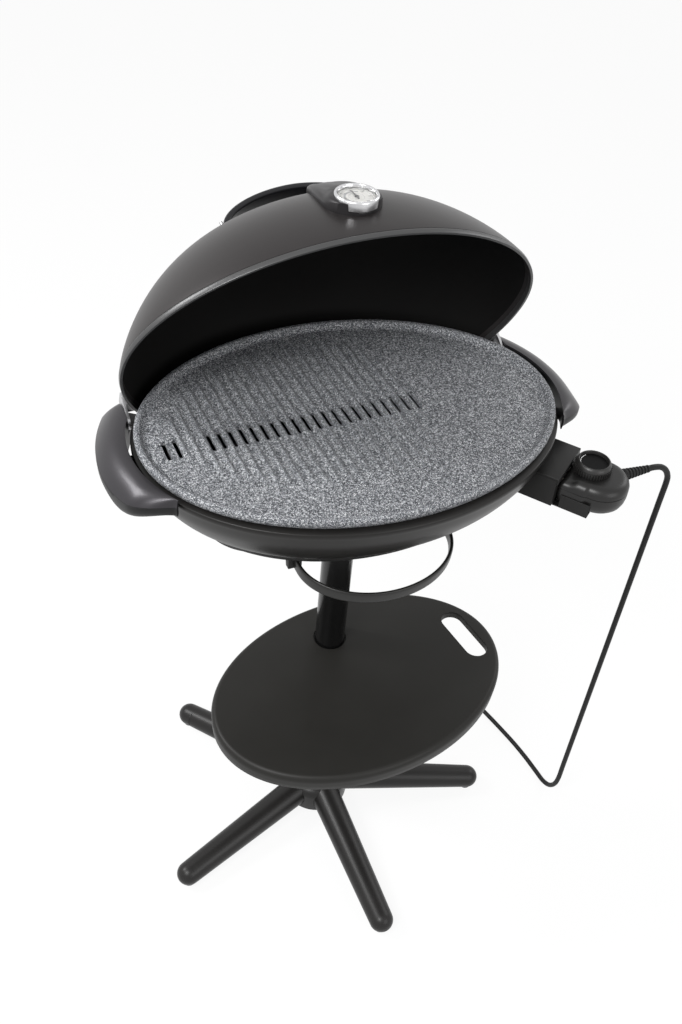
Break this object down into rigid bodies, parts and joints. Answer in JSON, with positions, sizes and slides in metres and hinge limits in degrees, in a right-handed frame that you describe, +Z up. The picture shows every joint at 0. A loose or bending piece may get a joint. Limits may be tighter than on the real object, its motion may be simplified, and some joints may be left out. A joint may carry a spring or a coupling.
{
  "type": "pedestal electric grill",
  "caption": "Pedestal electric grill: star base, pole with oval shelf, oval heated bowl with ribbed plate, plug-in thermostat with cord, and a domed lid that tilts back on side pivots.",
  "frame": {"origin": "the point on the floor under the pole's axis", "axes": "+Z up along the pole, +X along the long way of the cooking plate towards the thermostat's end, +Y to the back, where the lid tilts"},
  "size_m": [0.7054, 0.5228, 1.0917],
  "materials": {
    "gloss_black": "glossy black moulding",
    "black_enamel": "glossy black stove enamel on steel",
    "pad_rubber": "matt black rubber",
    "zinc_steel": "zinc-plated steel",
    "matte_black": "matt black heat-resistant moulding",
    "shelf_charcoal": "fine-grained matt charcoal moulding",
    "bowl_enamel": "satin dark enamel on steel",
    "reflector_steel": "bright aluminised sheet",
    "plate_coating": "speckled dark grey non-stick coating",
    "element_steel": "heat-tinted sheathed tube",
    "handle_black": "matt black moulding",
    "handle_graphite": "glossy graphite metallic lacquer",
    "control_black": "satin black moulding",
    "switch_ceramic": "phenolic and ceramic switch block",
    "knob_graphite": "satin graphite moulding",
    "cord_black": "satin black flexible sheath",
    "plug_brass": "plain brass",
    "lid_graphite": "satin graphite metallic enamel",
    "rim_steel": "light graphite metallic band",
    "lid_handle_black": "satin black moulding",
    "boss_graphite": "satin graphite metallic",
    "bezel_chrome": "polished chrome",
    "dial_white": "white printed dial",
    "needle_black": "black pointer",
    "gauge_glass": "clear flat glass"
  },
  "bodies": {
    "stand": {"base_hub": "gloss_black", "base_legs": "gloss_black", "leg_caps": "gloss_black", "foot_pads": "pad_rubber", "pole_bolt": "zinc_steel", "pole_tube": "black_enamel", "shelf_collar": "matte_black", "shelf": "shelf_charcoal", "shelf_screws": "zinc_steel", "pole_socket": "matte_black", "socket_screws": "zinc_steel", "bottom_pan": "matte_black", "tray_runners": "zinc_steel", "rail_lugs": "matte_black", "utensil_rail": "black_enamel", "bowl": "bowl_enamel", "heat_reflector": "reflector_steel", "grill_plate": "plate_coating", "heating_element": "element_steel", "element_clips": "zinc_steel", "right_handle_base": "handle_black", "right_handle_top": "handle_graphite", "left_handle_base": "handle_black", "left_handle_top": "handle_graphite", "handle_screws": "zinc_steel", "socket_housing": "matte_black", "socket_cover": "matte_black", "thermostat_shield": "zinc_steel", "controller_base": "control_black", "controller_top": "control_black", "thermostat_switch": "switch_ceramic", "heat_probe": "element_steel", "cord_relief": "cord_black", "cord_run": "cord_black", "cord_coil": "cord_black", "cord_tail": "cord_black", "plug_body": "cord_black", "plug_pins": "plug_brass"},
    "lid": {"lid_shell": "lid_graphite", "lid_rim": "rim_steel", "lid_ears": "zinc_steel", "pivot_pins": "zinc_steel", "lid_handle": "lid_handle_black", "lid_handle_screws": "zinc_steel", "thermometer_boss": "boss_graphite", "gauge_case": "zinc_steel", "gauge_bezel": "bezel_chrome", "gauge_dial": "dial_white", "gauge_glass": "gauge_glass", "gauge_stem": "zinc_steel", "stem_nut": "zinc_steel"},
    "needle": {"gauge_needle": "needle_black"},
    "knob": {"control_knob": "knob_graphite", "knob_shaft": "zinc_steel"},
    "tray": {"grease_tray": "matte_black"}
  },
  "joints": [
    {"name": "lid_hinge", "type": "hinge", "parent": "stand", "child": "lid", "pos_m": [0, 0.0795, 0.8116], "axis": [-1, 0, 0], "range_deg": [-64.5, 0]},
    {"name": "needle_turn", "type": "hinge", "parent": "lid", "child": "needle", "pos_m": [0, 0.0383, 1.0917], "axis": [0, 0, -1], "range_deg": [0, 250]},
    {"name": "knob_turn", "type": "hinge", "parent": "stand", "child": "knob", "pos_m": [0.264, -0.155, 0.782], "axis": [0, 0, -1], "range_deg": [0, 270]},
    {"name": "tray_slide", "type": "slide", "parent": "stand", "child": "tray", "axis": [-1, 0, 0], "range_m": [0, 0.15]}
  ]
}
